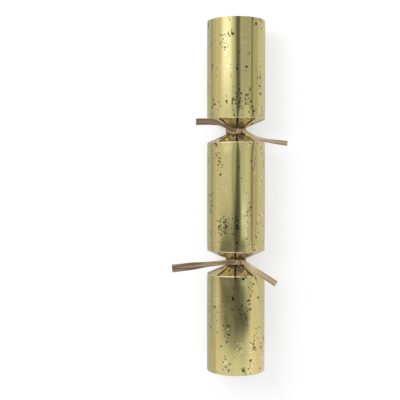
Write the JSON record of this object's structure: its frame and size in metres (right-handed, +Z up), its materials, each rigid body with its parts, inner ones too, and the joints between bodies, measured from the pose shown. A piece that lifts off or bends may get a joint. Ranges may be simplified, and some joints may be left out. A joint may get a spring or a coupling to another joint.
{
  "type": "christmas cracker",
  "caption": "Table cracker in gold foil card: barrels joined by slit chokes tied with paper ribbon, snap through the middle; the ends pull off.",
  "frame": {"origin": "centre of the flat that the centre barrel rests on, half way along the cracker", "axes": "+Y along the cracker towards end A, +Z up from the table, +X to the right when seen from above with end A at the top"},
  "size_m": [0.0997, 0.305, 0.0509],
  "materials": {
    "foil_card": "satin metallised gold foil on white card, with clusters of small mirror-bright dots",
    "liner_card": "plain uncoated card",
    "ribbon_paper": "matt natural brown paper ribbon with lengthwise creases",
    "snap_card": "plain uncoated card",
    "snap_charge": "dull grey friction charge coating",
    "snap_abrasive": "dark gritty abrasive coating",
    "sleeve_paper": "brown kraft paper",
    "glue": "dried white paper glue",
    "tissue": "red tissue paper",
    "band_paper": "white paper band",
    "motto_paper": "plain white paper",
    "wood": "turned beech, waxed"
  },
  "bodies": {
    "centre": {"wrap_centre": "foil_card", "liner_centre": "liner_card", "snap_sleeve": "sleeve_paper", "tie_a": "ribbon_paper", "tie_b": "ribbon_paper"},
    "end_a": {"wrap_end_a": "foil_card", "liner_end_a": "liner_card", "snap_strip_a": "snap_card", "snap_charge": "snap_charge", "snap_glue_a": "glue"},
    "end_b": {"wrap_end_b": "foil_card", "liner_end_b": "liner_card", "snap_strip_b": "snap_card", "snap_abrasive": "snap_abrasive", "snap_glue_b": "glue"},
    "hat": {"paper_hat": "tissue", "hat_band": "band_paper"},
    "motto": {"motto_slip": "motto_paper"},
    "gift": {"gift_top_disc": "wood", "gift_top_peg": "wood"}
  },
  "joints": [
    {"name": "pull_a", "type": "slide", "parent": "centre", "child": "end_a", "axis": [0, 1, 0], "range_m": [0, 0.075]},
    {"name": "pull_b", "type": "slide", "parent": "centre", "child": "end_b", "axis": [0, -1, 0], "range_m": [0, 0.075]},
    {"name": "hat_slide", "type": "slide", "parent": "centre", "child": "hat", "axis": [0, 1, 0], "range_m": [-0.008, 0.008]},
    {"name": "motto_slide", "type": "slide", "parent": "centre", "child": "motto", "axis": [0, 1, 0], "range_m": [-0.009, 0.021]},
    {"name": "gift_slide", "type": "slide", "parent": "centre", "child": "gift", "axis": [0, 1, 0], "range_m": [-0.043, 0.019]}
  ]
}
